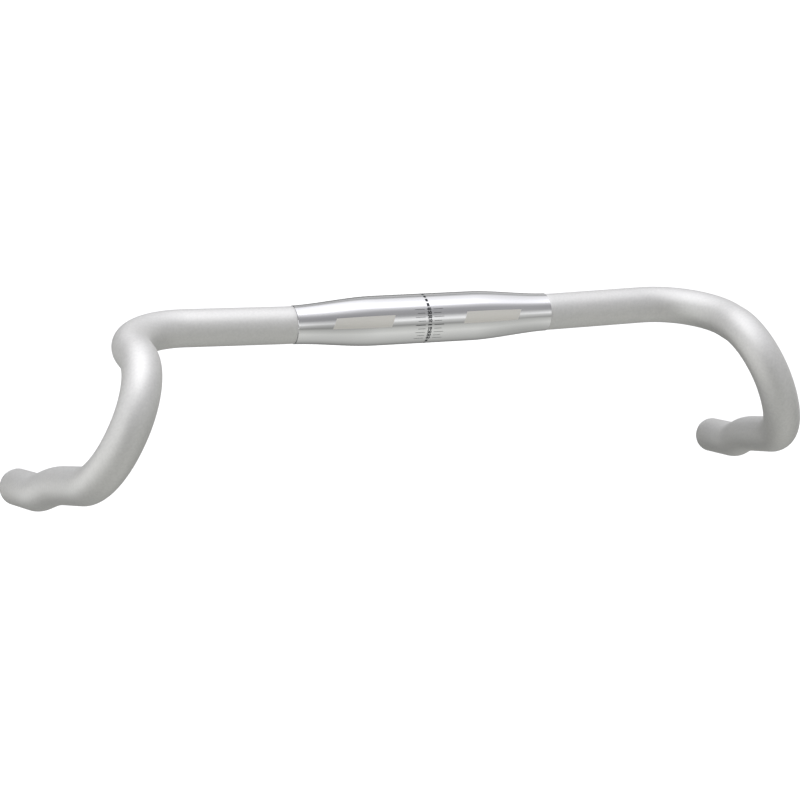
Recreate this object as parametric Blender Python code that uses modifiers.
"""Drop handlebar: one bent aluminium tube, a bulged clamp sleeve and two expanding end plugs.

Frame: the origin is the centre of the stem clamp, on the bar's axis. +X runs to the
rider's right, -Y forwards along the level ramps, +Z up. All sizes are in metres.
"""
import math

import bmesh
import bpy
from mathutils import Matrix, Vector

MM = 0.001

# ---- the bar tube -----------------------------------------------------------------------
TUBE_RADIUS = 11.9 * MM          # the 23.8 mm outside diameter that brake levers clamp to
TUBE_WALL = 1.8 * MM
TUBE_SIDES = 24
CLEARANCE = 0.3 * MM             # gap kept between pieces that touch

TOP_HALF = 92.0 * MM             # straight part of the tops, from the middle
TOP_RISE = 2.4 * MM              # the tops climb this much on their way out
HOOD_HALF = 200.5 * MM           # half the spacing of the ramps
RAMP_LENGTH = 87.5 * MM          # from the tops' axis to the front corner
FLARE = math.radians(23.3)       # each hook's plane leans outwards by this much

# Corners of the hook in its own leaning plane: (forward of the tops, down from the ramp).
HOOK_FRONT = (91.6 * MM, 70.8 * MM)
KINK_START = (17.7 * MM, 100.0 * MM)
KINK_END = (-5.2 * MM, 115.0 * MM)
DROP_END = (-47.0 * MM, 127.8 * MM)

# Bend radii at the corners, on the tube's axis.
TOP_BEND = 175.0 * MM
CORNER_BEND = 43.0 * MM
RAMP_BEND = 37.0 * MM
HOOK_BEND = 48.0 * MM
KINK_START_BEND = 120.0 * MM
KINK_END_BEND = 47.0 * MM
BEND_STEP = math.radians(11.0)   # one facet ring for about this much of a bend

# ---- the clamp sleeve -------------------------------------------------------------------
CLAMP_RADIUS = 15.9 * MM         # the 31.8 mm that a stem clamps to
SLEEVE_HALF = 87.0 * MM
SLEEVE_WALL = 2.0 * MM
BULGE_HALF = 33.0 * MM           # the sleeve is cylindrical out to here
TAPER_HALF = 90.0 * MM           # where the taper would run out
TAPER_DROP = 3.7 * MM            # how much the radius falls along the whole taper
LIP_CHAMFER = 0.2 * MM
NECK_RADIUS = 11.4 * MM          # the tube is drawn this much thinner under the sleeve
NECK_SHOULDER = 0.4 * MM
SLEEVE_SIDES = 32
TAPER_STEPS = 9

# ---- the end plugs, along their own axis: z = 0 at the tube's end, +z points out --------
FLANGE_THICKNESS = 1.6 * MM
FLANGE_ROUND = 0.5 * MM
PLUG_RADIUS = 9.7 * MM           # sits in the 10.1 mm radius bore of the tube
SPIGOT_END = -4.5 * MM
SCREW_BORE = 2.3 * MM
HEAD_RECESS_RADIUS = 3.8 * MM
HEAD_RECESS_FLOOR = -0.9 * MM

SCREW_RADIUS = 2.0 * MM
SCREW_TIP = -29.0 * MM
HEAD_RADIUS = 3.4 * MM
HEAD_TOP = 1.6 * MM
HEAD_CHAMFER = 0.3 * MM
HEX_ACROSS_FLATS = 2.5 * MM
HEX_DEPTH = 1.3 * MM

COLLET_TOP = SPIGOT_END - CLEARANCE
COLLET_END = -21.0 * MM
COLLET_BORE = 2.6 * MM
COLLET_CHAMFER = 0.5 * MM
SLOT_WIDTH = 1.4 * MM
SLOT_START = -7.5 * MM

RING_WIRE = 0.55 * MM            # the rubber ring's section radius
RING_HEIGHT = -14.0 * MM

NUT_TIP = -17.0 * MM
NUT_END = -25.5 * MM
NUT_TIP_RADIUS = 4.3 * MM
NUT_END_RADIUS = 7.2 * MM
KEY_WIDTH = SLOT_WIDTH - 2 * CLEARANCE
KEY_REACH = 8.0 * MM
PLUG_SIDES = 24

COLLECTION = "drop_handlebar"
CUTTERS = "cutters"


# ---- scene, collections and materials ---------------------------------------------------
def clear_scene():
    for obj in list(bpy.data.objects):
        bpy.data.objects.remove(obj, do_unlink=True)


def collection(name):
    found = bpy.data.collections.get(name)
    if found is None:
        found = bpy.data.collections.new(name)
        bpy.context.scene.collection.children.link(found)
    return found


def material(name, colour, metallic, roughness):
    made = bpy.data.materials.new(name)
    made.use_nodes = True
    shader = made.node_tree.nodes["Principled BSDF"]
    shader.inputs["Base Color"].default_value = (*colour, 1.0)
    shader.inputs["Metallic"].default_value = metallic
    shader.inputs["Roughness"].default_value = roughness
    return made


def add_object(name, mesh, surface, parent=None):
    obj = bpy.data.objects.new(name, mesh)
    collection(COLLECTION).objects.link(obj)
    mesh.materials.append(surface)
    obj.parent = parent
    return obj


def shade_round(mesh, angle=math.radians(35)):
    mesh.shade_smooth()
    mesh.set_sharp_from_angle(angle=angle)


# ---- the route of the tube's axis -------------------------------------------------------
def hook_point(forward, down):
    """A point of the right hook's leaning plane, in the handlebar's frame."""
    return Vector((HOOD_HALF + down * math.sin(FLARE), -forward, TOP_RISE - down * math.cos(FLARE)))


def rounded_route(corners, radii):
    """The polyline through the corners, with each inner corner rounded to its radius."""
    route = [corners[0]]
    for before, corner, after, radius in zip(corners, corners[1:], corners[2:], radii):
        way_in = (corner - before).normalized()
        way_out = (after - corner).normalized()
        turn = way_in.angle(way_out)
        start = corner - way_in * radius * math.tan(turn / 2)
        sideways = (way_out - way_in * math.cos(turn)).normalized()
        facets = max(1, round(turn / BEND_STEP))
        for step in range(facets + 1):
            angle = turn * step / facets
            route.append(start + radius * (way_in * math.sin(angle) + sideways * (1 - math.cos(angle))))
    route.append(corners[-1])
    return route


def drop_axis():
    """The right drop's end: the centre of the tube's end face and the direction out of it."""
    end, before = hook_point(*DROP_END), hook_point(*KINK_END)
    outwards = (end - before).normalized()
    return end - outwards * (CLEARANCE + FLANGE_THICKNESS), outwards


def half_route():
    """The right half of the axis, from the middle of the tops to the tube's end."""
    corners = [
        Vector((0, 0, 0)),
        Vector((TOP_HALF, 0, 0)),
        Vector((HOOD_HALF, 0, TOP_RISE)),
        hook_point(RAMP_LENGTH, 0),
        hook_point(*HOOK_FRONT),
        hook_point(*KINK_START),
        hook_point(*KINK_END),
        drop_axis()[0],
    ]
    return rounded_route(
        corners, [TOP_BEND, CORNER_BEND, RAMP_BEND, HOOK_BEND, KINK_START_BEND, KINK_END_BEND])


def mirrored(point):
    return Vector((-point.x, point.y, point.z))


# ---- the bar ----------------------------------------------------------------------------
def make_bar_tube(surface):
    """A round tube swept along the whole route, necked under the sleeve, open at both ends."""
    neck = SLEEVE_HALF + CLEARANCE
    right = [(Vector((neck, 0, 0)), NECK_RADIUS), (Vector((neck + NECK_SHOULDER, 0, 0)), TUBE_RADIUS)]
    right += [(point, TUBE_RADIUS) for point in half_route()[1:]]
    left = [(mirrored(point), radius) for point, radius in reversed(right)]
    stations = left + right

    curve = bpy.data.curves.new("bar_axis", "CURVE")
    curve.dimensions = "3D"
    curve.bevel_depth = TUBE_RADIUS
    curve.bevel_resolution = (TUBE_SIDES - 4) // 2
    spline = curve.splines.new("POLY")
    spline.points.add(len(stations) - 1)
    for slot, (point, radius) in zip(spline.points, stations):
        slot.co = (*point, 1.0)
        slot.radius = radius / TUBE_RADIUS
    guide = bpy.data.objects.new("bar_axis", curve)
    collection(COLLECTION).objects.link(guide)
    bpy.context.view_layer.update()
    swept = guide.evaluated_get(bpy.context.evaluated_depsgraph_get())
    skin = bpy.data.meshes.new_from_object(swept)
    place = guide.matrix_world.copy()
    bpy.data.objects.remove(guide, do_unlink=True)

    shade_round(skin)
    tube = add_object("bar_tube", skin, surface)
    tube.matrix_world = place
    wall = tube.modifiers.new("wall", "SOLIDIFY")
    wall.thickness = TUBE_WALL
    wall.offset = -1.0
    return tube


def sleeve_radius(distance):
    """The sleeve's outside radius at a distance from the middle: a smooth run-out."""
    run = min(max((distance - BULGE_HALF) / (TAPER_HALF - BULGE_HALF), 0.0), 1.0)
    return CLAMP_RADIUS - TAPER_DROP * run * run * (3 - 2 * run)


def make_centre_sleeve(surface):
    """The bulged sleeve: a turned shell that closes down onto the tube's neck at both ends."""
    seat = NECK_RADIUS + CLEARANCE
    spots = [BULGE_HALF + (SLEEVE_HALF - BULGE_HALF) * step / TAPER_STEPS for step in range(TAPER_STEPS)]
    spots.append(SLEEVE_HALF - LIP_CHAMFER)
    outer = [(sleeve_radius(spot), spot) for spot in spots]
    inner = [(max(seat, radius - SLEEVE_WALL), spot) for radius, spot in outer[:-1]]
    upper_outer = [(sleeve_radius(SLEEVE_HALF) - LIP_CHAMFER, SLEEVE_HALF)] + outer[::-1]
    upper_inner = inner + [(seat, SLEEVE_HALF)]
    lower_outer = [(radius, -height) for radius, height in upper_outer[::-1]]
    lower_inner = [(radius, -height) for radius, height in upper_inner[::-1]]
    profile = upper_outer + lower_outer + lower_inner + upper_inner
    sleeve = turned("centre_sleeve", profile, SLEEVE_SIDES, surface)
    sleeve.rotation_euler = (0, math.radians(90), 0)
    return sleeve


# ---- turned pieces and cuts -------------------------------------------------------------
def turned(name, profile, sides, surface, parent=None, closed=True):
    """A profile of (radius, height) points, down its outer side, turned about Z."""
    mesh = bpy.data.meshes.new(name)
    points = [(radius, 0, height) for radius, height in profile]
    edges = [(index, index + 1) for index in range(len(points) - 1)]
    if closed:
        edges.append((len(points) - 1, 0))
    mesh.from_pydata(points, edges, [])
    obj = add_object(name, mesh, surface, parent)
    screw = obj.modifiers.new("turn", "SCREW")
    screw.steps = sides
    screw.render_steps = sides
    screw.use_merge_vertices = True
    screw.merge_threshold = 0.01 * MM
    screw.use_smooth_shade = True
    return obj


def cutter(name, size, centre, parent, sides=4):
    """A box, or a prism with flats across X, kept out of the model and used to cut or join."""
    mesh = bpy.data.meshes.new(name)
    shape = bmesh.new()
    if sides == 4:
        bmesh.ops.create_cube(shape, size=1.0)
    else:
        corner_radius = 0.5 / math.cos(math.pi / sides)
        bmesh.ops.create_cone(shape, cap_ends=True, segments=sides,
                              radius1=corner_radius, radius2=corner_radius, depth=1.0)
    bmesh.ops.scale(shape, vec=size, verts=shape.verts)
    bmesh.ops.translate(shape, vec=centre, verts=shape.verts)
    shape.to_mesh(mesh)
    shape.free()
    obj = bpy.data.objects.new(name, mesh)
    collection(CUTTERS).objects.link(obj)
    obj.parent = parent
    obj.hide_render = True
    obj.display_type = "WIRE"
    return obj


def boolean(obj, tool, operation):
    step = obj.modifiers.new(tool.name, "BOOLEAN")
    step.operation = operation
    step.solver = "EXACT"
    step.object = tool


# ---- the end plugs ----------------------------------------------------------------------
def plug_frame(side, end, outwards):
    """An empty on the plug's axis at the tube's end face, with its +Z pointing out."""
    frame = bpy.data.objects.new("plug_axis_" + side, None)
    collection(COLLECTION).objects.link(frame)
    frame.matrix_world = Matrix.Translation(end) @ outwards.to_track_quat("Z", "Y").to_matrix().to_4x4()
    return frame


def make_plug_cap(side, frame, surface):
    """The visible flange with its spigot, bored and recessed for the screw."""
    bottom = CLEARANCE
    top = bottom + FLANGE_THICKNESS
    profile = [
        (HEAD_RECESS_RADIUS, top),
        (TUBE_RADIUS - FLANGE_ROUND, top),
        (TUBE_RADIUS - FLANGE_ROUND * (1 - math.sin(math.pi / 4)), top - FLANGE_ROUND * (1 - math.cos(math.pi / 4))),
        (TUBE_RADIUS, top - FLANGE_ROUND),
        (TUBE_RADIUS, bottom),
        (PLUG_RADIUS, bottom),
        (PLUG_RADIUS, SPIGOT_END),
        (SCREW_BORE, SPIGOT_END),
        (SCREW_BORE, HEAD_RECESS_FLOOR),
        (HEAD_RECESS_RADIUS, HEAD_RECESS_FLOOR),
    ]
    return turned("plug_cap_" + side, profile, PLUG_SIDES, surface, frame)


def make_plug_screw(side, frame, surface):
    """A socket-head screw that turns in the cap and draws the wedge nut along."""
    head_seat = HEAD_RECESS_FLOOR + CLEARANCE
    profile = [
        (0, HEAD_TOP),
        (HEAD_RADIUS - HEAD_CHAMFER, HEAD_TOP),
        (HEAD_RADIUS, HEAD_TOP - HEAD_CHAMFER),
        (HEAD_RADIUS, head_seat),
        (SCREW_RADIUS, head_seat),
        (SCREW_RADIUS, SCREW_TIP + HEAD_CHAMFER),
        (SCREW_RADIUS - HEAD_CHAMFER, SCREW_TIP),
        (0, SCREW_TIP),
    ]
    screw = turned("plug_screw_" + side, profile, PLUG_SIDES, surface, frame, closed=False)
    size = (HEX_ACROSS_FLATS, HEX_ACROSS_FLATS, 2 * HEX_DEPTH)
    boolean(screw, cutter("hex_socket_" + side, size, (0, 0, HEAD_TOP), frame, sides=6), "DIFFERENCE")
    return screw


def wedge_radius(height):
    """The wedge nut's cone, continued along the axis."""
    slope = (NUT_END_RADIUS - NUT_TIP_RADIUS) / (NUT_TIP - NUT_END)
    return NUT_TIP_RADIUS + slope * (NUT_TIP - height)


def make_plug_collet(side, frame, surface):
    """A sleeve split in four, grooved for its rubber ring and bored to the wedge's cone."""
    cone_gap = 1.2 * CLEARANCE
    cone_start = NUT_TIP
    while wedge_radius(cone_start) + cone_gap > COLLET_BORE:
        cone_start += 0.5 * MM
    groove_floor = PLUG_RADIUS - 2 * RING_WIRE - CLEARANCE
    groove_half = RING_WIRE + CLEARANCE
    profile = [
        (COLLET_BORE, COLLET_TOP),
        (PLUG_RADIUS - COLLET_CHAMFER, COLLET_TOP),
        (PLUG_RADIUS, COLLET_TOP - COLLET_CHAMFER),
        (PLUG_RADIUS, RING_HEIGHT + groove_half),
        (groove_floor, RING_HEIGHT + groove_half),
        (groove_floor, RING_HEIGHT - groove_half),
        (PLUG_RADIUS, RING_HEIGHT - groove_half),
        (PLUG_RADIUS, COLLET_END + COLLET_CHAMFER),
        (PLUG_RADIUS - COLLET_CHAMFER, COLLET_END),
        (wedge_radius(COLLET_END) + cone_gap, COLLET_END),
        (COLLET_BORE, cone_start),
    ]
    collet = turned("plug_collet_" + side, profile, PLUG_SIDES, surface, frame)
    across = 3 * PLUG_RADIUS
    depth = 2 * (SLOT_START - COLLET_END)
    for label, size in (("x", (across, SLOT_WIDTH, depth)), ("y", (SLOT_WIDTH, across, depth))):
        slot = cutter("collet_slot_" + label + "_" + side, size, (0, 0, SLOT_START - depth / 2), frame)
        boolean(collet, slot, "DIFFERENCE")
    return collet


def make_plug_ring(side, frame, surface):
    """The rubber ring that holds the collet's four fingers together."""
    middle = PLUG_RADIUS - RING_WIRE
    points = 8
    profile = []
    for index in range(points):
        angle = math.pi / 2 - 2 * math.pi * index / points
        profile.append((middle + RING_WIRE * math.cos(angle), RING_HEIGHT + RING_WIRE * math.sin(angle)))
    return turned("plug_ring_" + side, profile, PLUG_SIDES, surface, frame)


def make_plug_nut(side, frame, surface):
    """The wedge nut: a cone with a key that rides in one pair of the collet's slots."""
    profile = [(0, NUT_TIP), (NUT_TIP_RADIUS, NUT_TIP), (NUT_END_RADIUS, NUT_END), (0, NUT_END)]
    nut = turned("plug_nut_" + side, profile, PLUG_SIDES, surface, frame, closed=False)
    length = NUT_TIP - NUT_END
    key = cutter("nut_key_" + side, (2 * KEY_REACH, KEY_WIDTH, length - 2 * MM),
                 (0, 0, NUT_END + length / 2), frame)
    boolean(nut, key, "UNION")
    bore = cutter("nut_bore_" + side, (2 * SCREW_BORE, 2 * SCREW_BORE, 2 * length),
                  (0, 0, NUT_END + length / 2), frame, sides=PLUG_SIDES)
    boolean(nut, bore, "DIFFERENCE")
    return nut


# ---- the handlebar ----------------------------------------------------------------------
def main():
    clear_scene()
    blasted = material("blasted_aluminium", (0.62, 0.62, 0.62), 1.0, 0.5)
    polished = material("polished_aluminium", (0.80, 0.80, 0.81), 1.0, 0.12)
    cap_finish = material("cap_aluminium", (0.60, 0.60, 0.60), 1.0, 0.4)
    steel = material("screw_steel", (0.55, 0.55, 0.56), 1.0, 0.3)
    nylon = material("collet_nylon", (0.03, 0.03, 0.03), 0.0, 0.5)
    rubber = material("ring_rubber", (0.015, 0.015, 0.015), 0.0, 0.7)
    zinc = material("nut_zinc", (0.50, 0.50, 0.48), 1.0, 0.4)

    make_bar_tube(blasted)
    make_centre_sleeve(polished)

    end, outwards = drop_axis()
    sides = {"right": (end, outwards), "left": (mirrored(end), mirrored(outwards))}
    for side, (place, direction) in sides.items():
        frame = plug_frame(side, place, direction)
        make_plug_cap(side, frame, cap_finish)
        make_plug_screw(side, frame, steel)
        make_plug_collet(side, frame, nylon)
        make_plug_ring(side, frame, rubber)
        make_plug_nut(side, frame, zinc)


main()
